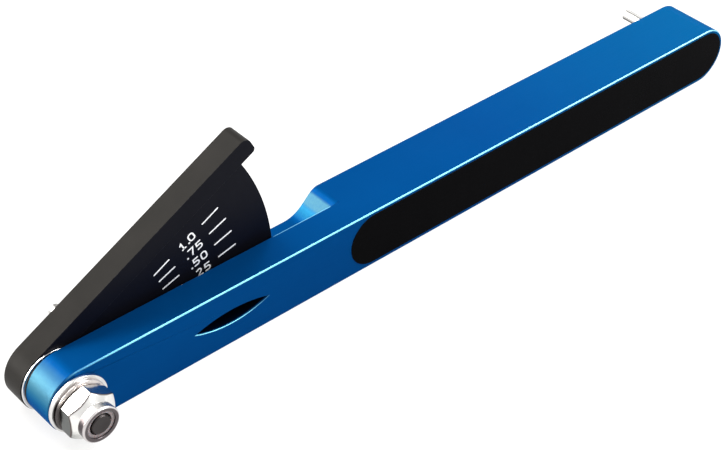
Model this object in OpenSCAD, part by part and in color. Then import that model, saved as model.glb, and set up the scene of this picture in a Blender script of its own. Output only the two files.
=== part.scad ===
// Chain wear gauge: a square bar with a fixed pin at one end and a pivoting
// lever with a second pin at the other. The lever is swung down until its pin
// takes up the slack of the chain, and its scale is read through a window.
//
// The pieces are modelled about the pivot axis, which runs along Y:
// X runs along the bar to the fixed pin, Y from the front face to the rear,
// Z up. place() then moves the origin to the middle of the bar's underside.

/* [Bar] */
// Height of the square bar
bar_h = 12.7; // [12:0.1:16]
// Depth of the square bar
bar_d = 12.7; // [12.4:0.1:16]
// Distance from the pivot axis to the fixed pin axis
pin_reach = 162.55; // [120:0.05:200]
// How far the leg's end radius is centred past the pivot axis
end_setback = 0.65; // [0:0.05:1.5]
// Thickness of the leg that carries the lever
leg_t = 6.35; // [5:0.05:7]
// Chamfer along the bar's edges
edge_c = 0.25; // [0.15:0.05:0.8]
// Chamfer along the leg's inner edges and the notch
inner_c = 0.2; // [0.1:0.05:0.4]

/* [Notch] */
// Gap between the plate's arc and the end of the slot
slot_gap = 0.4; // [0.3:0.1:2]
// Gap under the closed arm
arm_gap = 0.6; // [0.3:0.05:1.5]
// Room from the arm's tip to the foot of the ramp
tip_room = 3.4; // [2:0.1:10]
// Radius of the hollow at the foot of the ramp
ramp_r = 6; // [1:0.25:7]
// Radius of the rounding at the top of the ramp
brow_r = 3.25; // [0.5:0.25:4]
// Slope of the ramp in degrees
ramp_slope = 45; // [30:1:60]

/* [Window] */
// Distance from the pivot axis to the middle of the reading window
window_x = 32.7; // [28:0.1:36]
// Length of the reading window
window_l = 16; // [10:0.5:20]
// Height of the reading window
window_h = 3.8; // [2.5:0.1:6]
// Chamfer round the window
window_c = 0.3; // [0.1:0.05:0.5]

/* [Lever] */
// Thickness of the lever
lever_t = 4.9; // [4:0.1:5.4]
// Distance from the pivot axis to the arm's tip
arm_reach = 51.4; // [44:0.1:60]
// Thickness of the arm above the plate
arm_t = 4.05; // [3:0.05:5]
// Rounding of the tip's upper corner
tip_r = 1.6; // [0.5:0.1:2]
// Rounding of the tip's lower corner
toe_r = 0.8; // [0.3:0.1:1.5]
// Radius of the scale plate's arc
plate_r = 47.9; // [40:0.1:49]
// How far the plate lies back from the arm's front face
plate_step = 0.4; // [0.2:0.05:1]
// Angle from the arm down to the plate's lower corner, in degrees
plate_span = 34; // [28:1:45]
// Angle by which the lever stands open, in degrees
open_angle = 29.1; // [0:0.1:90]
// Chamfer along the lever's edges
lever_c = 0.12; // [0.08:0.02:0.5]

/* [Pins] */
// Diameter of both pins
pin_d = 2.38; // [2:0.02:3]
// How far the pins stand out behind the bar
pin_out = 9.6; // [6:0.1:14]
// Depth of the fixed pin's bore
pin_seat = 8; // [5:0.25:10]
// Width of the shoulder at which each pin ends its pressed length
pin_shoulder = 0.2; // [0.16:0.02:0.6]
// Distance from the pivot axis to the moving pin axis
moving_pin_r = 10.2; // [8.5:0.1:14]
// Angle from the arm down to the moving pin, in degrees
moving_pin_angle = 34; // [15:1:40]
// Chamfer at the pins' ends
pin_c = 0.3; // [0.1:0.05:0.6]

/* [Pivot] */
// Diameter of the screw's shank
screw_d = 4.16; // [3.5:0.02:5]
// Running clearance round the shank, on the radius
shank_clear = 0.05; // [0.02:0.01:0.1]
// Diameter of the steel washer between the leg and the lever
spacer_d = 12.4; // [9:0.1:12.7]
// Thickness of the steel washer between the leg and the lever
spacer_t = 0.65; // [0.4:0.05:1]
// Diameter of the screw's head
head_d = 7.9; // [7:0.1:9.5]
// Height of the screw's head
head_h = 2.2; // [1.5:0.1:3.5]
// Width of the socket in the screw's head, across its flats
socket_af = 2.38; // [2:0.02:3]
// Depth of the socket
socket_h = 1.3; // [0.8:0.1:1.4]
// Diameter of the plastic washer under the screw's head
head_washer_d = 9.2; // [8.6:0.1:11]
// Thickness of the plastic washer under the screw's head
head_washer_t = 0.5; // [0.3:0.05:1]
// How far the screw's end lies back inside the nut
end_depth = 0.1; // [0:0.05:0.5]
// Chamfer at the screw's end
screw_c = 0.3; // [0.1:0.05:0.5]

/* [Nut] */
// Diameter of the flat washer
washer_d = 11.2; // [10.6:0.1:12.4]
// Thickness of the flat washer
washer_t = 0.9; // [0.6:0.05:1.4]
// Diameter of the dished spring washer
spring_d = 10; // [8.8:0.1:10.6]
// Thickness of the dished spring washer
spring_t = 0.5; // [0.3:0.05:0.7]
// Height of the dished spring washer
spring_h = 0.8; // [0.7:0.05:1.2]
// Width of the lock nut across its flats
nut_af = 8.73; // [8.2:0.01:9.6]
// Height of the nut's hexagon
hex_h = 3.7; // [3:0.1:5]
// Height of the crown that leads from the hexagon's corners in to the collar
crown_h = 1.2; // [0.6:0.05:1.6]
// Height of the chamfer on the corners at the nut's rear face
seat_h = 0.4; // [0.2:0.05:0.6]
// Height of the whole nut
nut_h = 5.5; // [5.2:0.1:7]
// Diameter of the collar that holds the insert
collar_d = 6.9; // [6.6:0.1:8]
// Wall of the collar
collar_wall = 0.45; // [0.3:0.05:0.6]
// Width of the rolled lip, inward from the collar
lip_w = 0.75; // [0.5:0.05:0.9]
// Thickness of the rolled lip
lip_t = 0.4; // [0.3:0.05:0.6]
// Turn of the nut about its axis, in degrees
nut_turn = 28; // [0:1:59]

/* [Label] */
// Width of the bare strip above and below the label
label_margin = 0.7; // [0.5:0.05:2]
// Distance from the pivot axis to the label's left end
label_start = 60.5; // [55:0.1:100]
// Thickness of the label
label_t = 0.12; // [0.1:0.01:0.2]

/* [Hidden] */
$fn = 96;
eps = 0.5;
edge_sink = 0.03;
blend_sink = 0.005;
face_inset = 0.05;
half_h = bar_h / 2;
eye_r = half_h;
arm_low = eye_r - arm_t;
bar_end = pin_reach + half_h;
leg_end = end_setback - half_h;
mid_x = (bar_end + leg_end) / 2;
slot_end = plate_r + slot_gap;
floor_z = arm_low - arm_gap;
ramp_x = arm_reach + tip_room;
lever_front = leg_t + spacer_t;
lever_rear = lever_front + lever_t;
shank_r = screw_d / 2;
bore_r = shank_r + shank_clear;
pin_r = pin_d / 2;
press_r = pin_r + pin_shoulder;
moving_pin_x = moving_pin_r * cos(moving_pin_angle);
moving_pin_z = -moving_pin_r * sin(moving_pin_angle);
pin_tip = bar_d + pin_out;
pin_clear = 0.01;
thread_clear = 0.02;
washer_clear = 0.15;
washer_bore_r = shank_r + washer_clear;
head_y = lever_rear + head_washer_t;
nut_y = -washer_t - spring_h;
nut_front = nut_y - nut_h;
collar_r = collar_d / 2;
insert_r = collar_r - collar_wall;

// Moves the pivot's frame to the middle of the bar's underside.
module place() {
    translate([-mid_x, -bar_d / 2, half_h]) children();
}

// A cylinder along Y from y0 to y1.
module rod(r, y0, y1, x = 0, z = 0) {
    translate([x, y1, z]) rotate([90, 0, 0]) cylinder(r = r, h = y1 - y0);
}

// A cone frustum along Y, with radius r0 at y0 and r1 at y1.
module taper(r0, r1, y0, y1, x = 0, z = 0) {
    translate([x, y1, z]) rotate([90, 0, 0]) cylinder(r1 = r1, r2 = r0, h = y1 - y0);
}

// A box given by its lowest and highest corners.
module block(low, high) {
    translate(low) cube(high - low);
}

// A slab along Y whose outline is given in X and Z.
module slab(points, y0, y1) {
    translate([0, y1, 0]) rotate([90, 0, 0]) linear_extrude(height = y1 - y0) polygon(points);
}

// The triangle that a chamfer c takes off a corner at a, b. The air lies
// towards side_a and side_b, each 1 or -1.
function corner_cut(a, b, c, side_a, side_b) =
    [[a + side_a * eps, b + side_b * eps], [a + side_a * eps, b - side_b * (c + eps)],
     [a - side_a * (c + eps), b + side_b * eps]];

// Cuts a chamfer c along an edge that runs in X, at y and z.
module long_bevel(x0, x1, y, z, c, side_y, side_z) {
    translate([x0, 0, 0]) rotate([90, 0, 90]) linear_extrude(height = x1 - x0)
        polygon(corner_cut(y, z, c, side_y, side_z));
}

// Cuts a chamfer c along an edge that runs in Z, at x and y.
module post_bevel(z0, z1, x, y, c, side_x, side_y) {
    translate([0, 0, z0]) linear_extrude(height = z1 - z0)
        polygon(corner_cut(x, y, c, side_x, side_y));
}

// What a chamfer c takes off the rim of a disc of radius r, whose face is at
// y and looks towards -Y (side = -1) or +Y (side = 1).
module rim_bevel(r, y, c, side, x = 0, z = 0) {
    difference() {
        rod(r + eps, min(y - side * c, y + side * eps), max(y - side * c, y + side * eps), x, z);
        if (side < 0) taper(r - c - eps, r, y - eps, y + c, x, z);
        else taper(r, r - c - eps, y - c, y + eps, x, z);
    }
}

// Bar

// The plain bar with its two round ends.
module bar_blank() {
    block([end_setback, 0, -half_h], [pin_reach, bar_d, half_h]);
    rod(half_h, 0, bar_d, pin_reach);
    rod(half_h, 0, bar_d, end_setback);
}

// The space behind the leg, in which the lever turns.
module lever_slot() {
    block([leg_end - eps, leg_t, -half_h - eps], [slot_end, bar_d + eps, half_h + eps]);
}

// The shallow notch that takes the closed arm's tip. A hollow leads from its
// floor to a ramp, and the ramp's top is rounded over into the bar's top.
module tip_notch() {
    along = [cos(ramp_slope), sin(ramp_slope)];
    inward = [sin(ramp_slope), -cos(ramp_slope)];
    hollow = [ramp_x, floor_z + ramp_r - blend_sink];
    foot = hollow + (ramp_r - blend_sink) * inward;
    head_z = half_h + edge_sink - brow_r * (1 - cos(ramp_slope));
    head = foot + (head_z - foot[1]) / sin(ramp_slope) * along;
    crest = foot + (half_h + eps - foot[1]) / sin(ramp_slope) * along;
    brow = head + (brow_r - blend_sink) * inward;
    block([slot_end - eps, leg_t, floor_z], [ramp_x, bar_d + eps, half_h + eps]);
    rod(ramp_r, leg_t, bar_d + eps, hollow[0], hollow[1]);
    slab([hollow, foot, crest, [ramp_x, half_h + eps]], leg_t, bar_d + eps);
    difference() {
        slab([brow, head, crest, [brow[0], half_h + eps]], leg_t, bar_d + eps);
        rod(brow_r, leg_t - eps, bar_d + 2 * eps, brow[0], brow[1]);
    }
}

// The eye-shaped window: two arcs that meet in points, chamfered in front.
module window() {
    arc_r = (pow(window_l / 2, 2) + pow(window_h / 2, 2)) / window_h;
    offset_z = arc_r - window_h / 2;
    intersection() {
        rod(arc_r, -eps, leg_t + eps, window_x, -offset_z);
        rod(arc_r, -eps, leg_t + eps, window_x, offset_z);
    }
    intersection() {
        taper(arc_r + window_c + eps, arc_r, -eps, window_c, window_x, -offset_z);
        taper(arc_r + window_c + eps, arc_r, -eps, window_c, window_x, offset_z);
    }
}

// The chamfers along the bar's long edges.
module bar_edge_bevels() {
    for (side = [-1, 1]) {
        long_bevel(end_setback, pin_reach, 0, side * half_h, edge_c, -1, side);
        long_bevel(slot_end - eps, pin_reach, bar_d, side * half_h, edge_c, 1, side);
        long_bevel(end_setback, slot_end, leg_t, side * half_h, inner_c, 1, side);
    }
}

// The chamfers round the bar's two ends.
module bar_end_bevels() {
    intersection() {
        union() {
            rim_bevel(half_h, 0, edge_c, -1, pin_reach);
            rim_bevel(half_h, bar_d, edge_c, 1, pin_reach);
        }
        block([pin_reach, -eps, -bar_h], [bar_end + eps, bar_d + eps, bar_h]);
    }
    intersection() {
        union() {
            rim_bevel(half_h, 0, edge_c, -1, end_setback);
            rim_bevel(half_h, leg_t, inner_c, 1, end_setback);
        }
        block([leg_end - eps, -eps, -bar_h], [end_setback, leg_t + eps, bar_h]);
    }
}

module body_bar() {
    color("royalblue") place() difference() {
        bar_blank();
        lever_slot();
        tip_notch();
        window();
        bar_edge_bevels();
        bar_end_bevels();
        rod(bore_r, -eps, leg_t + eps);
        rod(press_r + pin_clear, bar_d - pin_seat, bar_d + eps, pin_reach);
    }
}

// Lever

// Turns the lever from its closed place to where it stands open.
module swing() {
    rotate([0, -open_angle, 0]) children();
}

// What a rounding of radius r takes off a corner at x, z, whose sides run
// towards -X and, in Z, towards side_z.
module corner_round(x, z, r, side_z) {
    z0 = z + min(0, side_z * r) - (side_z < 0 ? 0 : eps);
    z1 = z + max(0, side_z * r) + (side_z < 0 ? eps : 0);
    difference() {
        block([x - r, lever_front - eps, z0], [x + eps, lever_rear + eps, z1]);
        rod(r, lever_front - 2 * eps, lever_rear + 2 * eps, x - r, z + side_z * r);
    }
}

// The straight arm from the eye to the rounded tip.
module arm() {
    difference() {
        block([0, lever_front, arm_low], [arm_reach, lever_rear, eye_r]);
        corner_round(arm_reach, eye_r, tip_r, -1);
        corner_round(arm_reach, arm_low, toe_r, 1);
    }
}

// The plate under the arm, between the eye and the arc. Its lower edge runs
// from the eye's lower side to the lower corner.
module scale_plate() {
    touch = -plate_span - acos(eye_r / plate_r);
    start = (eye_r - edge_sink) * [cos(touch), sin(touch)];
    corner = plate_r * [cos(plate_span), -sin(plate_span)];
    difference() {
        intersection() {
            rod(plate_r, lever_front + plate_step, lever_rear);
            slab([[0, 0], start, start + 1.5 * (corner - start), 2 * corner,
                  [2 * plate_r, arm_low + arm_t / 2], [0, arm_low + arm_t / 2]],
                 lever_front + plate_step, lever_rear);
        }
        rim_bevel(plate_r, lever_front + plate_step, lever_c, -1);
        rim_bevel(plate_r, lever_rear, lever_c, 1);
    }
}

// The chamfers of one face of the lever: along the arm's upper edge, round its
// tip, down its end and round the eye. The face looks towards side.
module lever_bevels(y, side) {
    long_bevel(0, arm_reach - tip_r, y, eye_r, lever_c, side, 1);
    post_bevel(arm_low + toe_r, eye_r - tip_r, arm_reach, y, lever_c, 1, side);
    intersection() {
        rim_bevel(tip_r, y, lever_c, side, arm_reach - tip_r, eye_r - tip_r);
        block([arm_reach - tip_r, lever_front - eps, eye_r - tip_r],
              [arm_reach + eps, lever_rear + eps, eye_r + eps]);
    }
    intersection() {
        rim_bevel(eye_r, y, lever_c, side);
        block([-bar_h, lever_front - eps, -bar_h], [0, lever_rear + eps, bar_h]);
    }
}

module lever() {
    color("dimgray") place() swing() difference() {
        union() {
            rod(eye_r, lever_front, lever_rear);
            arm();
            scale_plate();
        }
        lever_bevels(lever_front, -1);
        lever_bevels(lever_rear, 1);
        rod(bore_r, lever_front - eps, lever_rear + eps);
        rod(press_r + pin_clear, lever_front - eps, lever_rear + eps, moving_pin_x, moving_pin_z);
    }
}

// Pins

// A steel pin along Y: a wider length from y0 to y1, which is pressed in, and
// the free length from its shoulder to the chamfered tip.
module pin(y0, y1, x, z = 0) {
    rod(press_r, y0, y1, x, z);
    rod(pin_r, y1 - eps, pin_tip - pin_c, x, z);
    taper(pin_r, pin_r - pin_c, pin_tip - pin_c, pin_tip, x, z);
}

module fixed_pin() {
    color("lightgray") place() pin(bar_d - pin_seat, bar_d, pin_reach);
}

module moving_pin() {
    color("lightgray") place() swing()
        pin(lever_front + plate_step, lever_rear, moving_pin_x, moving_pin_z);
}

// Pivot

// The screw: a domed head behind the lever, a socket in it and a plain shank.
module pivot_screw() {
    dome_r = (pow(head_d / 2, 2) + head_h * head_h) / (2 * head_h);
    screw_end = nut_front + end_depth;
    color("silver") place() difference() {
        union() {
            intersection() {
                rod(head_d / 2, head_y, head_y + head_h);
                translate([0, head_y + head_h - dome_r, 0]) sphere(r = dome_r);
            }
            rod(shank_r, screw_end + screw_c, head_y + eps);
            taper(shank_r - screw_c, shank_r, screw_end, screw_end + screw_c);
        }
        translate([0, head_y + head_h + eps, 0]) rotate([90, 0, 0])
            cylinder(r = socket_af / 2 / cos(30), h = socket_h + eps, $fn = 6);
    }
}

// A flat ring along Y.
module ring(r, bore, y0, y1) {
    difference() {
        rod(r, y0, y1);
        rod(bore, y0 - eps, y1 + eps);
    }
}

module spacer_washer() {
    color("silver") place() ring(spacer_d / 2, bore_r, leg_t, lever_front);
}

module head_washer() {
    color("white") place() ring(head_washer_d / 2, bore_r, lever_rear, head_y);
}

module flat_washer() {
    color("gainsboro") place() ring(washer_d / 2, washer_bore_r, -washer_t, 0);
}

// The dished washer: its rim sits on the flat washer, its bore meets the nut.
module spring_washer() {
    rim = spring_d / 2;
    dish = spring_h - spring_t;
    color("gray") place() translate([0, -washer_t, 0]) rotate([90, 0, 0]) rotate_extrude()
        polygon([[washer_bore_r, dish], [rim, 0], [rim, spring_t], [washer_bore_r, spring_h]]);
}

// The nut's hexagon, turned about its axis. The crown cone in front and the
// seat cone at the rear take the corners off.
module nut_hexagon() {
    corner_r = nut_af / 2 / cos(30);
    crown_r = collar_r + face_inset;
    seat_r = nut_af / 2 - face_inset;
    hex_front = nut_y - hex_h;
    intersection() {
        rotate([0, -nut_turn, 0]) translate([0, nut_y, 0]) rotate([90, 0, 0])
            cylinder(r = corner_r, h = hex_h, $fn = 6);
        taper(crown_r, crown_r + (corner_r - crown_r) * hex_h / crown_h, hex_front, nut_y);
        taper(seat_r + (corner_r - seat_r) * hex_h / seat_h, seat_r, hex_front, nut_y);
    }
}

// The collar that holds the insert, closed in front by a rolled lip.
module nut_collar() {
    bend = [collar_r - lip_t, nut_h - lip_t];
    outer = [for (k = [0:6]) bend + lip_t * [cos(15 * k), sin(15 * k)]];
    translate([0, nut_y, 0]) rotate([90, 0, 0]) rotate_extrude()
        polygon(concat([[insert_r, hex_h - eps], [collar_r, hex_h - eps]], outer,
                       [[collar_r - lip_w, nut_h], [collar_r - lip_w, nut_h - lip_t],
                        [insert_r, nut_h - lip_t]]));
}

module lock_nut() {
    color("silver") place() {
        difference() {
            union() {
                nut_hexagon();
                nut_collar();
            }
            rod(shank_r + thread_clear, nut_y - hex_h - eps, nut_y + eps);
        }
    }
}

// The plastic ring inside the collar, which grips the screw.
module lock_insert() {
    color("whitesmoke") place() ring(insert_r, shank_r + pin_clear, nut_front + lip_t, nut_y - hex_h);
}

// Label

// A thin film with round ends on the front face.
module label() {
    r = half_h - label_margin;
    color("black") place() {
        block([label_start + r, -label_t, -r], [pin_reach, 0, r]);
        rod(r, -label_t, 0, label_start + r);
        rod(r, -label_t, 0, pin_reach);
    }
}

body_bar();
lever();
fixed_pin();
moving_pin();
pivot_screw();
spacer_washer();
head_washer();
flat_washer();
spring_washer();
lock_nut();
lock_insert();
label();
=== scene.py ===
import math
import bmesh
import bpy
from mathutils import Matrix, Vector


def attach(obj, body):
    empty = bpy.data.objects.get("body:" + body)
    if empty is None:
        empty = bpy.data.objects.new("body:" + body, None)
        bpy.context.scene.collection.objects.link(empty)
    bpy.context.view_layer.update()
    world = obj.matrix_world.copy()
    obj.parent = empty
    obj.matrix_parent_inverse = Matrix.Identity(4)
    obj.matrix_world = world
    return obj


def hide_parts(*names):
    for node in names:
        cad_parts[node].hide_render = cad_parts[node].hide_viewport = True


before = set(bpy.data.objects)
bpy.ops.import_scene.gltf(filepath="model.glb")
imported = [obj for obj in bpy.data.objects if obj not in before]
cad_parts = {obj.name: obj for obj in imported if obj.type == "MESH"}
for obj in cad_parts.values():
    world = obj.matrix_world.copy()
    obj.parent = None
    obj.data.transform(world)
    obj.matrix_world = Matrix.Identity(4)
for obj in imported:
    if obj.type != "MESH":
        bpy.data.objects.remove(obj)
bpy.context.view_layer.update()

# Everything is modelled in millimetres about the pivot axis: X along the bar,
# Y from the front face to the rear, Z up. SHIFT moves it into the row's frame.
SHIFT = Vector((-81.6, -6.35, 6.35))
OPEN_ANGLE = 29.1

HALF_H = 6.35
BAR_D = 12.7
LEG_T = 6.35
PIN_X = 162.55
END_X = 0.65
SLOT_END = 48.3
NOTCH_Z = 1.7
RAMP_X = 54.8
RAMP_R = 6.0
BROW_R = 3.25
WINDOW_X = 32.7
WINDOW_L = 16.0
LEVER_Y0 = 7.0
LEVER_Y1 = 11.9
PLATE_Y0 = 7.4
PLATE_R = 47.9
PLATE_SPAN = 34.0
ARM_REACH = 51.4
ARM_LOW = 2.3
TIP_R = 1.6
TOE_R = 0.8
PIN_R = 1.19
PIN_SEAT_R = 1.39
PIN_TIP = 22.3
MOVING_PIN = (8.4562, -5.7038)
SHANK_R = 2.08
SPACER_R = 6.2
NUT_Y = -1.7
NUT_AF = 8.73
NUT_TURN = 28.0
HEX_H = 3.7
CROWN_H = 1.2
COLLAR_R = 3.45
NUT_FRONT = -7.2
END_DEPTH = 0.1


# Mesh tools

def arc(cx, cz, r, a0, a1, n):
    """Points on an arc, in degrees, with both ends."""
    out = []
    for i in range(n + 1):
        a = math.radians(a0 + (a1 - a0) * i / n)
        out.append((cx + r * math.cos(a), cz + r * math.sin(a)))
    return out


def fillet(points, radii, n=4):
    """Rounds the corners of an open profile. radii maps a point's number to its radius."""
    out = []
    for i, p in enumerate(points):
        r = radii.get(i, 0)
        if not r:
            out.append(p)
            continue
        a = Vector(points[i - 1]) - Vector(p)
        b = Vector(points[i + 1]) - Vector(p)
        half = a.angle(b) / 2
        a.normalize()
        b.normalize()
        reach = r / math.tan(half)
        start, end = Vector(p) + a * reach, Vector(p) + b * reach
        centre = Vector(p) + (a + b).normalized() * (r / math.sin(half))
        u, v = start - centre, end - centre
        sweep = u.angle(v)
        for k in range(n + 1):
            t = k / n
            w = (u * math.sin((1 - t) * sweep) + v * math.sin(t * sweep)) / math.sin(sweep)
            out.append(tuple(centre + w))
    return out


def prism(outline, y0, y1):
    """A solid along Y from an outline in X and Z."""
    bm = bmesh.new()
    front = [bm.verts.new((x, y0, z)) for x, z in outline]
    back = [bm.verts.new((x, y1, z)) for x, z in outline]
    bm.faces.new(front)
    bm.faces.new(list(reversed(back)))
    for i in range(len(outline)):
        j = (i + 1) % len(outline)
        bm.faces.new((front[j], front[i], back[i], back[j]))
    bmesh.ops.recalc_face_normals(bm, faces=bm.faces)
    return bm


def temp_object(bm):
    mesh = bpy.data.meshes.new("tool")
    bm.to_mesh(mesh)
    bm.free()
    obj = bpy.data.objects.new("tool", mesh)
    bpy.context.scene.collection.objects.link(obj)
    return obj


def evaluated(obj):
    """The object's mesh with its modifiers applied, as a bmesh. The object is removed."""
    graph = bpy.context.evaluated_depsgraph_get()
    mesh = bpy.data.meshes.new_from_object(obj.evaluated_get(graph))
    bm = bmesh.new()
    bm.from_mesh(mesh)
    bpy.data.meshes.remove(mesh)
    old = obj.data
    bpy.data.objects.remove(obj)
    bpy.data.meshes.remove(old)
    return bm


def carve(bm, tools):
    """Applies booleans. tools is a list of (operation, bmesh)."""
    obj = temp_object(bm)
    others = []
    for operation, tool in tools:
        other = temp_object(tool)
        others.append(other)
        mod = obj.modifiers.new("cut", "BOOLEAN")
        mod.operation = operation
        mod.solver = "EXACT"
        mod.object = other
    bm = evaluated(obj)
    for other in others:
        mesh = other.data
        bpy.data.objects.remove(other)
        bpy.data.meshes.remove(mesh)
    bmesh.ops.remove_doubles(bm, verts=bm.verts, dist=0.0005)
    bmesh.ops.dissolve_limit(bm, angle_limit=math.radians(0.2), verts=bm.verts, edges=bm.edges)
    return bm


def bevelled(bm, width_of, segments=3, profile=0.5):
    """Rounds the sharp edges. width_of(middle, edge) gives each edge's width in mm."""
    layer = bm.edges.layers.float.new("bevel_weight_edge")
    for edge in bm.edges:
        if len(edge.link_faces) == 2 and edge.calc_face_angle() > math.radians(24):
            middle = (edge.verts[0].co + edge.verts[1].co) / 2
            edge[layer] = width_of(middle, edge)
    obj = temp_object(bm)
    mod = obj.modifiers.new("bevel", "BEVEL")
    mod.limit_method = "WEIGHT"
    mod.width = 1.0
    mod.segments = segments
    mod.profile = profile
    mod.use_clamp_overlap = False
    mod.miter_outer = "MITER_ARC"
    return evaluated(obj)


def lathe(profile, segments=128, closed=True):
    """Turns a profile of (radius, y) about the pivot axis."""
    bm = bmesh.new()
    rings = []
    for r, y in profile:
        if r < 1e-6:
            rings.append([bm.verts.new((0, y, 0))])
            continue
        ring = []
        for i in range(segments):
            a = 2 * math.pi * i / segments
            ring.append(bm.verts.new((r * math.cos(a), y, r * math.sin(a))))
        rings.append(ring)
    pairs = list(zip(rings, rings[1:]))
    if closed:
        pairs.append((rings[-1], rings[0]))
    for a, b in pairs:
        for i in range(segments):
            j = (i + 1) % segments
            quad = [a[i % len(a)], a[j % len(a)], b[j % len(b)], b[i % len(b)]]
            face = list(dict.fromkeys(quad))
            if len(face) > 2:
                bm.faces.new(face)
    bmesh.ops.recalc_face_normals(bm, faces=bm.faces)
    return bm


def grid_lathe(rings, segments):
    """Joins rings of (x, y, z) points into one closed surface of quads."""
    bm = bmesh.new()
    made = [[bm.verts.new(p) for p in ring] for ring in rings]
    for a, b in zip(made, made[1:] + made[:1]):
        for i in range(segments):
            j = (i + 1) % segments
            bm.faces.new((a[i], a[j], b[j], b[i]))
    bmesh.ops.recalc_face_normals(bm, faces=bm.faces)
    return bm


def piece(name, bm, body, material, nodes=(), swing=False, at=(0, 0, 0), sharp=38):
    """Makes the finished object, in metres in the row's frame."""
    place = Matrix.Scale(0.001, 4) @ Matrix.Translation(SHIFT)
    if swing:
        place = place @ Matrix.Rotation(math.radians(-OPEN_ANGLE), 4, "Y")
    place = place @ Matrix.Translation(at)
    bmesh.ops.transform(bm, matrix=place, verts=bm.verts)
    mesh = bpy.data.meshes.new(name)
    bm.to_mesh(mesh)
    bm.free()
    mesh.shade_smooth()
    mesh.set_sharp_from_angle(angle=math.radians(sharp))
    mesh.materials.append(material)
    obj = bpy.data.objects.new(name, mesh)
    bpy.context.scene.collection.objects.link(obj)
    mod = obj.modifiers.new("normals", "WEIGHTED_NORMAL")
    mod.keep_sharp = True
    mod.weight = 90
    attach(obj, body)
    if nodes:
        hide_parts(*nodes)
    return obj


# Materials

class Nodes:
    """Short names for building a node tree."""

    def __init__(self, name):
        self.mat = bpy.data.materials.new(name)
        self.mat.use_nodes = True
        self.tree = self.mat.node_tree
        self.bsdf = self.tree.nodes["Principled BSDF"]
        coord = self.tree.nodes.new("ShaderNodeTexCoord")
        self.coord = coord.outputs["Object"]

    def node(self, kind, inputs=(), **values):
        made = self.tree.nodes.new(kind)
        for key, value in values.items():
            setattr(made, key, value)
        for key, value in dict(inputs).items():
            if isinstance(value, bpy.types.NodeSocket):
                self.tree.links.new(value, made.inputs[key])
            else:
                made.inputs[key].default_value = value
        return made

    def scaled(self, scale):
        made = self.node("ShaderNodeMapping", {"Vector": self.coord, "Scale": scale})
        return made.outputs[0]

    def noise(self, scale, stretch=(1, 1, 1), detail=3.0, roughness=0.55):
        made = self.node("ShaderNodeTexNoise", {
            "Vector": self.scaled(stretch), "Scale": scale, "Detail": detail,
            "Roughness": roughness})
        return made.outputs["Fac"]

    def ramp(self, value, low, high, out_low=0.0, out_high=1.0):
        made = self.node("ShaderNodeMapRange", {
            "Value": value, "From Min": low, "From Max": high,
            "To Min": out_low, "To Max": out_high})
        return made.outputs[0]

    def math(self, kind, a, b=0.0):
        return self.node("ShaderNodeMath", {0: a, 1: b}, operation=kind).outputs[0]

    def mix(self, factor, a, b):
        made = self.node("ShaderNodeMix", data_type="RGBA")
        for index, value in ((0, factor), (6, a), (7, b)):
            if isinstance(value, bpy.types.NodeSocket):
                self.tree.links.new(value, made.inputs[index])
            else:
                made.inputs[index].default_value = value
        return made.outputs[2]

    def edge(self, radius, low=0.02, high=0.30):
        """1 along convex edges, 0 on flat faces."""
        bevel = self.node("ShaderNodeBevel", {"Radius": radius}, samples=6)
        geo = self.node("ShaderNodeNewGeometry")
        dot = self.node("ShaderNodeVectorMath",
                        {0: bevel.outputs[0], 1: geo.outputs["Normal"]}, operation="DOT_PRODUCT")
        return self.ramp(self.math("SUBTRACT", 1.0, dot.outputs["Value"]), low, high)

    def parts(self, vector):
        """The X, Y and Z of a vector."""
        return self.node("ShaderNodeSeparateXYZ", {0: vector}).outputs

    def normal(self):
        return self.parts(self.node("ShaderNodeNewGeometry").outputs["Normal"])

    def near(self, value, middle, reach, soft=0.0001):
        """1 where a value in metres lies within reach of middle."""
        off = self.math("ABSOLUTE", self.math("SUBTRACT", value, middle))
        return self.ramp(off, reach + soft, reach)

    def product(self, *values):
        out = values[0]
        for value in values[1:]:
            out = self.math("MULTIPLY", out, value)
        return out

    def radius(self, place):
        """Distance from the pivot axis, from the parts of a position."""
        x = self.math("SUBTRACT", place[0], SHIFT.x * 0.001)
        z = self.math("SUBTRACT", place[2], SHIFT.z * 0.001)
        square = self.math("ADD", self.math("MULTIPLY", x, x), self.math("MULTIPLY", z, z))
        return self.math("SQRT", square)

    def bump(self, height, distance, strength=1.0, normal=None):
        made = self.node("ShaderNodeBump", {"Height": height, "Distance": distance,
                                            "Strength": strength})
        if normal is not None:
            self.tree.links.new(normal, made.inputs["Normal"])
        return made.outputs[0]

    def set(self, **inputs):
        for key, value in inputs.items():
            socket = self.bsdf.inputs[key.replace("_", " ")]
            if isinstance(value, bpy.types.NodeSocket):
                self.tree.links.new(value, socket)
            else:
                socket.default_value = value
        return self.mat


def rgb(r, g, b):
    return (r, g, b, 1.0)


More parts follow.
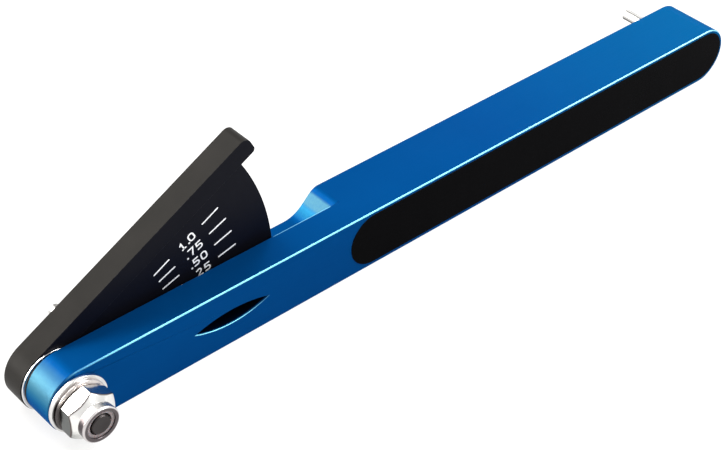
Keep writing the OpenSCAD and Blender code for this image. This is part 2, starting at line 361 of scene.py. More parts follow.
def anodised_blue():
    n = Nodes("anodised_blue")
    grain = n.noise(9000, (0.35, 1, 1), 4.0)
    streak = n.noise(2600, (0.03, 1, 1), 3.0)
    cloud = n.noise(90, (1, 1, 1), 4.0)
    base = n.mix(cloud, rgb(0.0003, 0.043, 0.160), rgb(0.0005, 0.051, 0.184))
    place, normal = n.parts(n.coord), n.normal()
    left = n.ramp(place[0], -0.060, -0.065)
    # Painted light: the blue grows lighter towards the bar's right end.
    base = n.mix(n.ramp(place[0], 0.02, 0.085), base, n.mix(0.5, base, rgb(0.0003, 0.095, 0.195)))
    # Painted highlights: the left round end (end), the notch's brow (slope) and its ramp (foot) turn a lighter, more
    # cyan blue where they face left.
    end = n.product(left, n.ramp(normal[0], -0.30, -0.72), n.ramp(normal[2], -0.15, 0.35))
    slope = n.product(n.math("SUBTRACT", 1.0, left), n.ramp(streak, 0.3, 0.7, 0.8, 1.2))
    high = n.ramp(place[2], 0.0098, 0.0104)
    foot = n.product(slope, n.ramp(normal[0], -0.34, -0.62), n.math("SUBTRACT", 1.0, high))
    slope = n.product(slope, n.ramp(normal[0], -0.56, -0.69), high)
    mottle = n.ramp(cloud, 0.3, 0.7, 0.6, 0.8)
    base = n.mix(n.product(n.math("ADD", end, slope), mottle), base,
                 n.mix(n.ramp(normal[2], 0.1, 0.5), rgb(0.022, 0.150, 0.25), rgb(0.060, 0.165, 0.20)))
    base = n.mix(n.product(foot, mottle), base, rgb(0.016, 0.155, 0.27))
    # Edge wear and painted highlight: the convex edges turn a patchy lighter blue.
    worn = n.product(n.edge(0.00035), n.ramp(n.noise(1400, detail=5.0), 0.42, 0.68), 0.5)
    base = n.mix(worn, base, rgb(0.10, 0.30, 0.52))
    # Painted highlight along the front-top arris, lighter towards the right end.
    arris = n.product(n.ramp(normal[1], -0.28, -0.48), n.ramp(normal[2], 0.28, 0.48), n.ramp(normal[0], -0.30, -0.04),
                      n.ramp(n.noise(1400, detail=5.0), 0.3, 0.6, 0.75, 1.0), n.ramp(place[0], -0.080, -0.068, 0.3, 1.0))
    base = n.mix(arris, base, n.mix(n.ramp(place[0], 0.0, 0.07), rgb(0.20, 0.58, 0.70), rgb(0.32, 0.66, 0.80)))
    # Painted highlight along the leg's rear top edge beside the notch.
    lip = n.product(n.near(place[1], (LEG_T - 0.05 + SHIFT.y) * 0.001, 0.0001, 0.00005),
                    n.near(place[0], (53.85 + SHIFT.x) * 0.001, 0.00655, 0.0004),
                    n.ramp(place[2], 0.01255, 0.0126))
    base = n.mix(n.product(lip, 0.7), base, rgb(0.22, 0.58, 0.80))
    # Painted shade on faces that turn to the front and down, along the bottom front edge.
    under = n.product(n.ramp(normal[1], -0.05, -0.4), n.ramp(normal[2], -0.2, -0.5))
    base = n.mix(n.product(under, 0.8), base, rgb(0.0002, 0.012, 0.05))
    # Painted shade: the walls inside the window are nearly black.
    window = n.product(n.near(place[0], (WINDOW_X + SHIFT.x) * 0.001, 0.0083),
                       n.near(place[2], SHIFT.z * 0.001, 0.0020),
                       n.near(place[1], (3.4 + SHIFT.y) * 0.001, 0.00295))
    base = n.mix(n.product(window, 0.95), base, rgb(0.0002, 0.001, 0.004))
    rough = n.math("ADD", n.ramp(grain, 0.3, 0.7, 0.39, 0.49), n.ramp(streak, 0.3, 0.7, -0.03, 0.04))
    bump = n.bump(grain, 0.000004, 0.55)
    bump = n.bump(streak, 0.000006, 0.35, bump)
    return n.set(Base_Color=base, Metallic=0.55, Roughness=rough, Normal=bump,
                 IOR=1.04, Specular_Tint=rgb(0.0, 0.5, 0.95),
                 Coat_Weight=0.01, Coat_Roughness=0.12, Coat_IOR=1.5)


def anodised_black():
    n = Nodes("anodised_black")
    grain = n.noise(11000, (1, 1, 1), 4.0)
    cloud = n.noise(160, (1, 1, 1), 3.0)
    base = n.mix(cloud, rgb(0.0030, 0.0032, 0.0060), rgb(0.0050, 0.0052, 0.0082))
    # Painted light: the rims, which face across the axis, are a lighter grey than the flat faces.
    rim = n.ramp(n.math("ABSOLUTE", n.normal()[1]), 0.9, 0.5)
    base = n.mix(rim, base, n.mix(cloud, rgb(0.013, 0.0125, 0.0118), rgb(0.021, 0.0195, 0.018)))
    worn = n.product(n.edge(0.0003), n.ramp(n.noise(1800, detail=5.0), 0.45, 0.7), 0.6)
    base = n.mix(worn, base, rgb(0.10, 0.10, 0.105))
    rough = n.ramp(grain, 0.3, 0.7, 0.34, 0.47)
    bump = n.bump(grain, 0.000004, 0.5)
    return n.set(Base_Color=base, Metallic=0.0, Roughness=rough, Normal=bump, IOR=1.12)


def steel(name, tone, rough, stretch=(1, 1, 1), scale=5000, wear=0.3, bump_mm=0.003, darkening=None):
    """Grained steel. Its darkening rule names where the steel is painted darker: painted shade on washers and pins, a
    darker cut end on the screw.
    """
    n = Nodes(name)
    grain = n.noise(scale, stretch, 4.0)
    cloud = n.noise(500, (1, 1, 1), 3.0)
    dark = rgb(*(0.82 * c for c in tone))
    base = n.mix(n.ramp(cloud, 0.3, 0.7), dark, rgb(*tone))
    base = n.mix(n.math("MULTIPLY", n.edge(0.0002), wear), base, rgb(0.9, 0.9, 0.9))
    # The rule's mask darkens the steel: painted shade on washers and pins, a darker cut end on the screw.
    if darkening:
        base = n.mix(darkening(n, cloud), base, rgb(0.035, 0.03, 0.03))
    roughness = n.ramp(grain, 0.3, 0.7, rough * 0.75, rough * 1.25)
    bump = n.bump(grain, bump_mm * 0.001, 0.4)
    return n.set(Base_Color=base, Metallic=1.0, Roughness=roughness, Normal=bump)


def low_side(n, cloud, high=0.0014, low=-0.0016):
    """1 on the side of the pivot that faces down and away from the bar."""
    place = n.parts(n.coord)
    x = n.math("SUBTRACT", place[0], SHIFT.x * 0.001)
    z = n.math("SUBTRACT", place[2], SHIFT.z * 0.001)
    side = n.math("ADD", n.product(x, 0.7), z)
    side = n.math("ADD", side, n.ramp(cloud, 0.3, 0.7, -0.0006, 0.0006))
    return n.ramp(side, high, low)


def washer_ring_shade(n, cloud):
    """Painted shade inside the washer's rim, on its lower side."""
    return n.product(n.ramp(n.radius(n.parts(n.coord)), 0.00535, 0.00515), low_side(n, cloud), 0.95)


# Painted shade on the side that faces down and away from the bar.
def low_side_shade(n, cloud):
    return n.product(low_side(n, cloud), 0.92)


def pin_side_shade(n, cloud):
    """Painted shade on a pin: dark underneath, a lighter shade on its right."""
    normal = n.normal()
    side = n.math("ADD", n.product(normal[0], 0.765), n.product(normal[2], 0.644))
    return n.math("ADD", n.product(n.ramp(side, 0.25, 0.65), 0.45), n.product(n.ramp(side, -0.80, -0.93), 0.93))


def dark_screw_end(n, cloud):
    """Darker at the screw's cut end."""
    front = (NUT_FRONT + 1.5 + SHIFT.y) * 0.001
    return n.product(n.ramp(n.parts(n.coord)[1], front + 0.0002, front), 0.97)


def gap_shade(n, cloud):
    """Painted shade in the gap between the washer and the bar."""
    place = n.parts(n.coord)
    edge = (LEG_T + SHIFT.y) * 0.001
    return n.ramp(place[1], edge + 0.0003, edge + 0.00022)


def nut_steel():
    """Plated steel: bright on the hexagon, dull on the collar. Painted shade darkens the faces that turn down and
    left and the collar's lower side, and a painted dark line follows the crown.
    """
    n = Nodes("nut_steel")
    grain = n.noise(5000, (1, 1, 1), 4.0)
    cloud = n.noise(600, (1, 1, 1), 3.0)
    place, normal = n.parts(n.coord), n.normal()
    front = (NUT_Y - HEX_H + SHIFT.y) * 0.001
    radius = n.radius(place)
    collar = n.ramp(place[1], front + 0.00003, front - 0.00012)
    rim = n.math("MULTIPLY", n.ramp(radius, 0.00325, 0.0034), n.ramp(place[1], front - 0.0012, front - 0.0015))
    away = n.math("SUBTRACT", n.product(normal[0], -0.87), n.product(normal[2], 0.5))
    # Painted shade: faces turned down and left go nearly black.
    low = n.ramp(n.math("ADD", away, n.ramp(cloud, 0.3, 0.7, -0.06, 0.06)), 0.56, 0.76)
    dull = n.ramp(away, -0.15, 0.35, 0.25, 1.0)
    # Painted dark line where the crown turns from the hexagon's faces.
    facing = n.math("MULTIPLY", normal[1], -1.0)
    turn = n.math("MULTIPLY", n.ramp(facing, 0.06, 0.24), n.ramp(facing, 0.74, 0.52))
    turn = n.math("MULTIPLY", turn, n.ramp(place[1], front + 0.0015, front + 0.0012))
    turn = n.math("MULTIPLY", turn, n.math("SUBTRACT", 1.0, collar))
    base = n.mix(n.ramp(cloud, 0.3, 0.7), rgb(0.74, 0.73, 0.71), rgb(0.86, 0.85, 0.83))
    base = n.mix(n.product(low, 0.93), base, rgb(0.045, 0.052, 0.048))
    base = n.mix(n.math("MULTIPLY", turn, 0.9), base, rgb(0.09, 0.06, 0.055))
    face = n.ramp(radius, 0.0034, 0.0033)
    # The collar is dull and darker, with painted shade deepening it on the side turned down and left.
    base = n.mix(n.product(collar, n.math("MAXIMUM", dull, face), 0.94), base, rgb(0.060, 0.045, 0.050))
    base = n.mix(n.math("MULTIPLY", rim, 0.8), base, rgb(0.72, 0.68, 0.68))
    roughness = n.math("ADD", n.ramp(grain, 0.3, 0.7, 0.13, 0.21), n.math("MULTIPLY", collar, 0.12))
    return n.set(Base_Color=base, Metallic=1.0, Roughness=roughness, Normal=n.bump(grain, 0.000003, 0.4))


def plastic(name, low, high, rough):
    n = Nodes(name)
    cloud = n.noise(700, (1, 1, 1), 4.0)
    fine = n.noise(7000, (1, 1, 1), 3.0)
    base = n.mix(cloud, rgb(*low), rgb(*high))
    base = n.mix(n.math("MULTIPLY", n.edge(0.0002), 0.25), base, rgb(0.95, 0.95, 0.95))
    bump = n.bump(fine, 0.000005, 0.4)
    return n.set(Base_Color=base, Roughness=n.ramp(fine, 0.3, 0.7, rough - 0.07, rough + 0.07),
                 Normal=bump, Subsurface_Weight=0.15, Subsurface_Scale=0.0006)


def label_black():
    n = Nodes("label_black")
    cloud = n.noise(120, (1, 1, 1), 4.0)
    peel = n.noise(1500, (1, 1, 1), 2.0)
    scuff = n.ramp(n.noise(2400, (0.12, 1, 1), 5.0), 0.60, 0.74)
    base = n.mix(cloud, rgb(0.0012, 0.0012, 0.0015), rgb(0.0021, 0.0020, 0.0023))
    # Painted highlight: the film's edges turn a lighter grey.
    base = n.mix(n.math("MULTIPLY", n.edge(0.00012), 0.4), base, rgb(0.05, 0.05, 0.055))
    rough = n.math("ADD", n.ramp(peel, 0.3, 0.7, 0.16, 0.24), n.math("MULTIPLY", scuff, 0.12))
    bump = n.bump(peel, 0.000006, 0.35)
    return n.set(Base_Color=base, Roughness=rough, Normal=bump, IOR=1.045)


def paint_white():
    n = Nodes("paint_white")
    chip = n.noise(5000, (1, 1, 1), 5.0)
    base = n.mix(n.ramp(chip, 0.35, 0.7), rgb(0.70, 0.71, 0.73), rgb(0.86, 0.87, 0.88))
    bump = n.bump(chip, 0.000004, 0.4)
    return n.set(Base_Color=base, Roughness=n.ramp(chip, 0.3, 0.7, 0.42, 0.6), Normal=bump)


BLUE = anodised_blue()
BLACK = anodised_black()
PIN_STEEL = steel("pin_steel", (0.62, 0.61, 0.59), 0.22, (1, 0.08, 1), darkening=pin_side_shade)
SCREW_STEEL = steel("screw_steel", (0.46, 0.45, 0.44), 0.34, darkening=dark_screw_end)
WASHER_STEEL = steel("washer_steel", (0.78, 0.77, 0.76), 0.20, darkening=washer_ring_shade)
SPACER_STEEL = steel("spacer_steel", (0.80, 0.80, 0.81), 0.12, darkening=gap_shade)
SPRING_STEEL = steel("spring_steel", (0.66, 0.61, 0.59), 0.24, darkening=low_side_shade)
NUT_STEEL = nut_steel()
NYLON = plastic("nylon_white", (0.78, 0.80, 0.80), (0.86, 0.87, 0.86), 0.42)
INSERT = plastic("nylon_insert", (0.16, 0.13, 0.135), (0.26, 0.22, 0.225), 0.36)
LABEL = label_black()
PAINT = paint_white()


# Bar

def window_outline(upper=1.35, lower=1.65):
    """The eye's outline, from how far each arc rises."""
    half = WINDOW_L / 2
    r0, r1 = (half ** 2 + upper ** 2) / (2 * upper), (half ** 2 + lower ** 2) / (2 * lower)
    a0, a1 = math.degrees(math.asin(half / r0)), math.degrees(math.asin(half / r1))
    top = arc(WINDOW_X, upper - r0, r0, 90 + a0, 90 - a0, 28)
    bottom = arc(WINDOW_X, r1 - lower, r1, -90 + a1, -90 - a1, 28)
    return top + bottom[1:-1]


def make_bar():
    stadium = arc(PIN_X, 0, HALF_H, -90, 90, 40) + arc(END_X, 0, HALF_H, 90, 270, 40)
    slot = [(-20, -20), (SLOT_END, -20), (SLOT_END, 20), (-20, 20)]
    half = math.sqrt(0.5)
    ramp = arc(RAMP_X, NOTCH_Z + RAMP_R, RAMP_R, -90, -45, 16)
    brow_z = HALF_H + 0.03 - BROW_R
    brow_x = ramp[-1][0] + brow_z + BROW_R * half - ramp[-1][1] + BROW_R * half
    brow = arc(brow_x, brow_z, BROW_R, 135, 95, 10)
    notch = [(SLOT_END - 5, NOTCH_Z)] + ramp + brow + [(brow[-1][0], 20), (SLOT_END - 5, 20)]
    bm = carve(prism(stadium, 0, BAR_D), [
        ("DIFFERENCE", prism(slot, LEG_T, 20)),
        ("DIFFERENCE", prism(notch, LEG_T, 20)),
        ("DIFFERENCE", prism(window_outline(), -5, 10)),
        ("DIFFERENCE", prism(arc(0, 0, SHANK_R + 0.05, 0, 360 - 360 / 48, 47), -5, 10)),
        ("DIFFERENCE", prism(arc(PIN_X, 0, PIN_SEAT_R + 0.01, 0, 360 - 360 / 48, 47), BAR_D - 8, 20)),
    ])

    def width(mid, edge):
        if abs(mid.x) < 3 and abs(mid.z) < 3:
            return 0
        if abs(mid.x - PIN_X) < 2 and abs(mid.z) < 2:
            return 0.1
        if abs(mid.x - WINDOW_X) < 9 and abs(mid.z) < 2.5:
            along = abs((edge.verts[0].co - edge.verts[1].co).y)
            return 0.18 if mid.y < 0.01 else 0 if along > 1 else 0.12
        if mid.y < 0.01:
            return 0.19 + 0.15 * mid.z / HALF_H
        if mid.y > BAR_D - 0.01:
            return 0.06
        return 0.10

    return bevelled(bm, width, 3, 0.34)


piece("bar", make_bar(), "bar", BLUE, ["body_bar"])


def make_label():
    """A film with round ends, its rim turned over a little."""
    r = HALF_H - 0.7
    x0 = 60.5 + r
    rings = []
    for inset, y in ((0, 0), (0, -0.06), (0.02, -0.10), (0.07, -0.12)):
        outline = arc(PIN_X, 0, r - inset, -90, 90, 32) + arc(x0, 0, r - inset, 90, 270, 32)
        rings.append([(x, y, z) for x, z in outline])
    bm = bmesh.new()
    made = [[bm.verts.new(p) for p in ring] for ring in rings]
    count = len(made[0])
    for a, b in zip(made, made[1:]):
        for i in range(count):
            j = (i + 1) % count
            bm.faces.new((a[i], a[j], b[j], b[i]))
    bm.faces.new(made[-1])
    bm.faces.new(list(reversed(made[0])))
    bmesh.ops.recalc_face_normals(bm, faces=bm.faces)
    return bm


piece("label_film", make_label(), "bar", LABEL, ["label"])


# Lever

def make_lever():
    arm = (arc(ARM_REACH - TOE_R, ARM_LOW + TOE_R, TOE_R, -90, 0, 8)
           + arc(ARM_REACH - TIP_R, HALF_H - TIP_R, TIP_R, 0, 90, 12)
           + arc(0, 0, HALF_H, 90, 360 + 21.2, 88))
    touch = -PLATE_SPAN - math.degrees(math.acos(HALF_H / PLATE_R))
    start = arc(0, 0, HALF_H - 0.02, touch, touch, 1)[0]
    top = math.degrees(math.asin((ARM_LOW + 1) / PLATE_R))
    plate = [(0, 0), start] + arc(0, 0, PLATE_R, -PLATE_SPAN, top, 48) + [(0, ARM_LOW + 1)]
    bm = carve(prism(arm, LEVER_Y0, LEVER_Y1), [
        ("UNION", prism(plate, PLATE_Y0, LEVER_Y1)),
        ("DIFFERENCE", prism(arc(0, 0, SHANK_R + 0.05, 0, 360 - 360 / 48, 47), 0, 20)),
        ("DIFFERENCE", prism(arc(*MOVING_PIN, PIN_SEAT_R + 0.01, 0, 360 - 360 / 32, 31), 0, 20)),
    ])

    def width(mid, edge):
        if mid.x ** 2 + mid.z ** 2 < 9:
            return 0
        if (mid.x - MOVING_PIN[0]) ** 2 + (mid.z - MOVING_PIN[1]) ** 2 < 4:
            return 0.08
        return 0.07

    return bevelled(bm, width, 3)


piece("lever_plate", make_lever(), "lever", BLACK, ["lever"], swing=True)


# Scale marks

def ribbon(bm, points, width, y0, y1, closed=False):
    """A raised line of paint along points in the plate's plane, with round ends."""
    pts = [Vector(p) for p in points]
    n = len(pts)
    left, right = [], []
    for i, p in enumerate(pts):
        before = pts[i - 1] if i or closed else None
        after = pts[(i + 1) % n] if i < n - 1 or closed else None
        d0 = (p - before).normalized() if before is not None else (after - p).normalized()
        d1 = (after - p).normalized() if after is not None else d0
        normal = Vector((-(d0.y + d1.y), d0.x + d1.x)).normalized()
        reach = width / 2 / max(0.5, normal.dot(Vector((-d1.y, d1.x))))
        left.append(p + normal * reach)
        right.append(p - normal * reach)
    if closed:
        for i in range(n):
            j = (i + 1) % n
            block(bm, [left[i], left[j], right[j], right[i]], y0, y1)
        return
    d0 = (pts[0] - pts[1]).normalized()
    d1 = (pts[-1] - pts[-2]).normalized()
    tail = [pts[-1] + Matrix.Rotation(math.radians(a), 2) @ d1 * width / 2 for a in (60, 30, 0, -30, -60)]
    head = [pts[0] + Matrix.Rotation(math.radians(a), 2) @ d0 * width / 2 for a in (60, 30, 0, -30, -60)]
    block(bm, left + tail + list(reversed(right)) + head, y0, y1)


def block(bm, outline, y0, y1):
    front = [bm.verts.new((p[0], y0, p[1])) for p in outline]
    back = [bm.verts.new((p[0], y1, p[1])) for p in outline]
    bm.faces.new(front)
    for i in range(len(outline)):
        j = (i + 1) % len(outline)
        bm.faces.new((front[j], front[i], back[i], back[j]))


DIGIT_H = 1.9
DIGIT_W = 1.42
STROKE = 0.30
DIGIT_V = -1.66
DOT_V = -2.41


def digit_paths(char):
    """Strokes of a digit about its middle, as (points, closed)."""
    h, w = (DIGIT_H - STROKE) / 2, (DIGIT_W - STROKE) / 2
    if char == "0":
        r = w * 0.85
        path = arc(w - r, h - r, r, 0, 90, 6) + arc(-w + r, h - r, r, 90, 180, 6)
        path += arc(-w + r, -h + r, r, 180, 270, 6) + arc(w - r, -h + r, r, 270, 360, 6)
        return [(path, True)]
    if char == "1":
        return [([(-w * 0.55, h * 0.55), (w * 0.1, h), (w * 0.1, -h)], False),
                ([(-w * 0.6, -h), (w * 0.8, -h)], False)]
    if char == "7":
        return [([(-w, h), (w, h), (-w * 0.15, -h)], False)]
    if char == "5":
        r = h * 0.56
        return [([(w * 0.9, h), (-w * 0.8, h), (-w * 0.9, h * 0.12)]
                 + arc(w * 0.85 - r * 0.95, -h + r, r, 80, -90, 9) + [(-w, -h)], False)]
    if char == "2":
        r = h * 0.52
        return [([(-w * 0.95, h - r * 0.4)] + arc(0, h - r, r, 140, -40, 9) + [(-w, -h), (w, -h)], False)]
    return []


def make_marks():
    bm = bmesh.new()
    y0, y1 = PLATE_Y0 - 0.025, PLATE_Y0 + 0.01
    rows = (("1.0", (30.87, 32.18, 33.16)), (".75", (30.58, 31.82, 33.58)),
            (".50", (30.58, 31.82, 33.58)), (".25", (30.58, 31.82, 33.58)))
    for k, (text, places) in enumerate(rows):
        turn = Matrix.Rotation(math.radians(-5.15 * k), 2)
        out = 0.17 if k else 0

        def at(points, u, v):
            return [turn @ Vector((u + p[0], v + p[1])) for p in points]

        for a, b in ((23.9, 27.8), (35.9, 40.0)):
            drop = 0.14 if k == 3 and a < 30 else 0
            ribbon(bm, at([(a + 0.15, 0), (b - 0.15, 0)], out, -1.45 - drop), 0.30, y0, y1)
        for char, u in zip(text, places):
            if char == ".":
                block(bm, at(arc(0, 0, 0.2, 0, 330, 11), u, DOT_V), y0, y1)
                continue
            for path, closed in digit_paths(char):
                ribbon(bm, at(path, u, DIGIT_V), STROKE, y0, y1, closed)
    bmesh.ops.recalc_face_normals(bm, faces=bm.faces)
    for face in bm.faces:
        if abs(face.normal.y) > 0.9 and face.normal.y > 0:
            face.normal_flip()
    return bm


piece("scale_marks", make_marks(), "lever", PAINT, swing=True)


# Pins

def make_pin(y0, y1):
    profile = [(0, y0), (PIN_SEAT_R, y0), (PIN_SEAT_R, y1), (PIN_R, y1), (PIN_R, PIN_TIP - 0.3),
               (PIN_R - 0.3, PIN_TIP), (0, PIN_TIP)]
    return lathe(fillet(profile, {1: 0.1, 2: 0.06, 4: 0.12, 5: 0.12}), 64, closed=False)


piece("pin_fixed", make_pin(BAR_D - 8, BAR_D), "bar", PIN_STEEL, ["fixed_pin"], at=(PIN_X, 0, 0))
piece("pin_moving", make_pin(PLATE_Y0, LEVER_Y1), "lever", PIN_STEEL, ["moving_pin"],
      swing=True, at=(MOVING_PIN[0], 0, MOVING_PIN[1]))


# Pivot stack

def ring_profile(inner, outer, y0, y1, soft):
    profile = [(inner, (y0 + y1) / 2), (inner, y0), (outer, y0), (outer, y1), (inner, y1)]
    return fillet(profile, {1: soft, 2: soft, 3: soft}, 3)


def hex_radius(angle, flats):
    local = (angle + 30) % 60 - 30
    return flats / 2 / math.cos(math.radians(local))


def soft_min(a, b, k):
    h = max(0.0, k - abs(a - b)) / k
    return min(a, b) - h * h * k / 4


SPACER_BORE = SHANK_R + 0.05
WASHER_BORE = SHANK_R + 0.15

step = [(SPACER_BORE, LEG_T), (5.75, LEG_T), (5.75, LEG_T + 0.26), (SPACER_R, LEG_T + 0.30), (SPACER_R, LEVER_Y0),
        (SPACER_BORE, LEVER_Y0), (SPACER_BORE, LEG_T)]
piece("washer_spacer", lathe(fillet(step, {1: 0.05, 3: 0.06, 4: 0.06}, 3)[:-1]),
      "bar", SPACER_STEEL, ["spacer_washer"])
piece("washer_head", lathe(ring_profile(SPACER_BORE, 4.6, LEVER_Y1, LEVER_Y1 + 0.5, 0.1)),
      "bar", NYLON, ["head_washer"])
piece("washer_flat", lathe(ring_profile(WASHER_BORE, 5.6, -0.9, 0, 0.16)),
      "bar", WASHER_STEEL, ["flat_washer"])

spring = [(WASHER_BORE, -1.2), (5.0, -0.9), (5.0, -1.4), (WASHER_BORE, -1.7)]
piece("washer_spring", lathe(fillet(spring + [spring[0]], {1: 0.1, 2: 0.16, 3: 0.06}, 3)[:-1]),
      "bar", SPRING_STEEL, ["spring_washer"])


def make_nut():
    """Hexagon, crown, collar and rolled lip as one surface round the screw."""
    count = 240
    corner_r = NUT_AF / 2 / math.cos(math.radians(30))
    seat_r = NUT_AF / 2 - 0.05
    crown_r = COLLAR_R + 0.05
    seat_slope = (corner_r - seat_r) / 0.4
    crown_slope = (corner_r - crown_r) / CROWN_H
    front = NUT_Y - HEX_H
    depths = [0, 0.02, 0.05, 0.1, 0.16, 0.22, 0.28, 0.34, 0.4, 0.47, 0.56, 0.7, 0.95, 1.3, 1.8, 2.2]
    depths += [2.35 + (HEX_H - 0.04 - 2.35) * k / 26 for k in range(27)]
    out = []

    def ring(radius_of, y):
        pts = []
        for i in range(count):
            a = 360 * i / count
            r = radius_of(a)
            t = math.radians(a + NUT_TURN + 30)
            pts.append((r * math.cos(t), y, r * math.sin(t)))
        out.append(pts)

    def side(a, seat, crown, inset):
        flank = soft_min(hex_radius(a, NUT_AF), 4.98, 0.12)
        return soft_min(soft_min(flank, seat, 0.10), crown, 0.26) - inset

    for r in (SHANK_R + 0.02, seat_r - 0.12):
        ring(lambda a, r=r: r, NUT_Y)
    for d in depths:
        seat = seat_r + seat_slope * d
        crown = crown_r + crown_slope * (HEX_H - d)
        inset = 0.03 if d < 0.03 else 0
        ring(lambda a, s=seat, c=crown, e=inset: side(a, s, c, e), NUT_Y - d)
    collar = fillet([(crown_r + 0.02, front + 0.02), (COLLAR_R + 0.02, front - 0.02), (COLLAR_R + 0.16, NUT_FRONT),
                     (2.70, NUT_FRONT + 0.06), (2.70, NUT_FRONT + 0.4), (3.0, NUT_FRONT + 0.4), (3.0, front),
                     (SHANK_R + 0.02, front)],
                    {1: 0.03, 2: 0.42, 3: 0.18, 4: 0.1}, 6)
    for r, y in collar:
        ring(lambda a, r=r: r, y)
    return grid_lathe(out, count)


piece("nut", make_nut(), "bar", NUT_STEEL, ["lock_nut"], sharp=50)
piece("nut_insert", lathe(ring_profile(SHANK_R + 0.01, 3.0, NUT_FRONT + 0.4, NUT_Y - HEX_H, 0.12)),
      "bar", INSERT, ["lock_insert"])


def make_screw():
    """Domed head with a hexagon socket, plain shank and a threaded end."""
    count = 120
    head_y, head_h, head_r = LEVER_Y1 + 0.5, 2.2, 3.95
    dome_r = (head_r ** 2 + head_h ** 2) / (2 * head_h)
    top = head_y + head_h
    rings = []

    def ring(radius_of, y_of):
        pts = []
        for i in range(count):
            a = 360 * i / count
            t = math.radians(a)
            r = radius_of(a)
            pts.append((r * math.cos(t), y_of(a), r * math.sin(t)))
        rings.append(pts)

    def plain(r, y):
        ring(lambda a: r, lambda a: y)

    socket = 2.38
    plain(0.02, top - 1.5)
    ring(lambda a: hex_radius(a, socket) * 0.5, lambda a: top - 1.38)
    ring(lambda a: hex_radius(a, socket), lambda a: top - 1.3)
    ring(lambda a: hex_radius(a, socket), lambda a: top - 0.25)
    ring(lambda a: hex_radius(a, socket) + 0.12, lambda a: top - 0.12)
    for k in range(13):
        r = 1.62 + (head_r - 0.06 - 1.62) * k / 12
        plain(r, top - dome_r + math.sqrt(dome_r ** 2 - r ** 2))
    plain(head_r, head_y + 0.10)
    plain(head_r - 0.08, head_y)
    plain(SHANK_R + 0.02, head_y)
    plain(SHANK_R, head_y - 0.05)
    plain(SHANK_R, NUT_Y)
    pitch, depth, end = 0.79, 0.30, NUT_FRONT + END_DEPTH
    steps = 56
    for k in range(steps + 1):
        y = NUT_Y + (end - NUT_Y) * k / steps
        taper = min(1.0, (y - end) / 0.45)

        def radius_of(a, y=y, taper=taper):
            phase = (y / pitch + a / 360) % 1
            wave = abs(2 * phase - 1)
            crest = SHANK_R - depth * min(1.0, wave * 1.25) * min(1.0, (NUT_Y - y) / 0.3)
            return min(crest, SHANK_R - 0.34 + 0.34 * taper)

        ring(radius_of, lambda a, y=y: y)
    plain(1.1, end + 0.02)
    plain(0.02, end + 0.05)
    bm = bmesh.new()
    made = [[bm.verts.new(p) for p in pts] for pts in rings]
    for a, b in zip(made, made[1:]):
        for i in range(count):
            j = (i + 1) % count
            bm.faces.new((a[i], a[j], b[j], b[i]))
    bm.faces.new(made[0])
    bm.faces.new(list(reversed(made[-1])))
    bmesh.ops.recalc_face_normals(bm, faces=bm.faces)
    return bm


piece("screw", make_screw(), "bar", SCREW_STEEL, ["pivot_screw"])


# Floor and light

def show_white(tree, plain, white, floor_share=1.0):
    """Mixes in a white emission for camera, glossy and transmission rays."""
    path = tree.nodes.new("ShaderNodeLightPath")
    either = tree.nodes.new("ShaderNodeMath")
    either.operation = "MAXIMUM"
    tree.links.new(path.outputs["Is Camera Ray"], either.inputs[0])
    tree.links.new(path.outputs["Is Glossy Ray"], either.inputs[1])
    third = tree.nodes.new("ShaderNodeMath")
    third.operation = "MAXIMUM"
    tree.links.new(either.outputs[0], third.inputs[0])
    tree.links.new(path.outputs["Is Transmission Ray"], third.inputs[1])
    share = tree.nodes.new("ShaderNodeMath")
    share.operation = "MULTIPLY"
    tree.links.new(third.outputs[0], share.inputs[0])
    share.inputs[1].default_value = floor_share
    mix = tree.nodes.new("ShaderNodeMixShader")
    tree.links.new(share.outputs[0], mix.inputs[0])
    tree.links.new(plain, mix.inputs[1])
    tree.links.new(white, mix.inputs[2])
    return mix.outputs[0]


def make_floor():
    bm = bmesh.new()
    bmesh.ops.create_grid(bm, x_segments=8, y_segments=8, size=3.0)
    mesh = bpy.data.meshes.new("floor")
    bm.to_mesh(mesh)
    bm.free()
    obj = bpy.data.objects.new("floor", mesh)
    bpy.context.scene.collection.objects.link(obj)
    mat = bpy.data.materials.new("floor")
    mat.use_nodes = True
    tree = mat.node_tree
    tree.nodes.clear()
    diffuse = tree.nodes.new("ShaderNodeBsdfDiffuse")
    diffuse.inputs["Color"].default_value = rgb(0.86, 0.86, 0.86)
    white = tree.nodes.new("ShaderNodeEmission")
    white.inputs["Strength"].default_value = 1.0
    out = tree.nodes.new("ShaderNodeOutputMaterial")
    tree.links.new(show_white(tree, diffuse.outputs[0], white.outputs[0], 0.72), out.inputs[0])
    mesh.materials.append(mat)


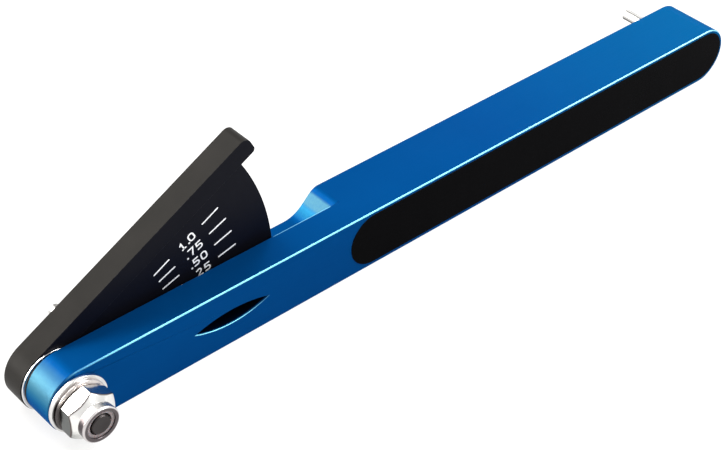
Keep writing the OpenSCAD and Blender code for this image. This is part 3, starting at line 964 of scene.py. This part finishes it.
def make_world():
    world = bpy.data.worlds.new("studio")
    world.use_nodes = True
    tree = world.node_tree
    tree.nodes.clear()
    dim = tree.nodes.new("ShaderNodeBackground")
    dim.inputs["Color"].default_value = rgb(1, 1, 1)
    dim.inputs["Strength"].default_value = 0.55
    white = tree.nodes.new("ShaderNodeBackground")
    white.inputs["Color"].default_value = rgb(1, 1, 1)
    white.inputs["Strength"].default_value = 1.0
    out = tree.nodes.new("ShaderNodeOutputWorld")
    tree.links.new(show_white(tree, dim.outputs[0], white.outputs[0]), out.inputs[0])
    bpy.context.scene.world = world


def softbox(name, direction, distance, width, height, power, tone=(1, 1, 1)):
    light = bpy.data.lights.new(name, "AREA")
    light.shape = "RECTANGLE"
    light.size, light.size_y = width, height
    light.energy = power
    light.color = tone
    obj = bpy.data.objects.new(name, light)
    bpy.context.scene.collection.objects.link(obj)
    way = Vector(direction).normalized()
    obj.location = way * distance
    obj.rotation_mode = "QUATERNION"
    obj.rotation_quaternion = (-way).to_track_quat("-Z", "Y")
    return obj


make_floor()
make_world()
softbox("key", (0.50, -0.25, 0.83), 0.9, 0.4, 0.4, 8.0)
softbox("edge_strip", (0.534, -0.633, 0.56), 0.9, 0.7, 0.06, 3.0)
softbox("rear_left", (-0.76, 0.55, 0.36), 0.9, 0.4, 0.62, 10.5, tone=(1.0, 0.97, 0.92))
softbox("rear_top", (-0.256, 0.56, 0.788), 0.9, 0.35, 0.35, 4.5, tone=(1.0, 0.97, 0.92))
softbox("rear_right", (0.80, 0.42, 0.43), 0.9, 0.5, 0.4, 1.5)

# Camera

# Half a pixel of the 726 pixel wide image, right and down.
SHIFT_X = -0.5 / 726
SHIFT_Y = 0.5 / 726

camera_data = bpy.data.cameras.new("camera")
camera_data.lens = 82.48
camera_data.sensor_width = 36
camera_data.shift_x = SHIFT_X
camera_data.shift_y = SHIFT_Y
camera_data.clip_start = 0.01
camera_data.clip_end = 20
camera = bpy.data.objects.new("camera", camera_data)
bpy.context.scene.collection.objects.link(camera)
right = Vector((0.74296048, -0.66833964, 0.03649447))
up = Vector((0.4028985, 0.49009038, 0.77297103))
back = Vector((-0.53449277, -0.55958336, 0.63339082))
turn = Matrix((right, up, back)).transposed().to_4x4()
camera.matrix_world = Matrix.Translation((-0.18126, -0.17695, 0.20388)) @ turn
bpy.context.scene.camera = camera

bpy.context.scene.view_settings.view_transform = "Standard"
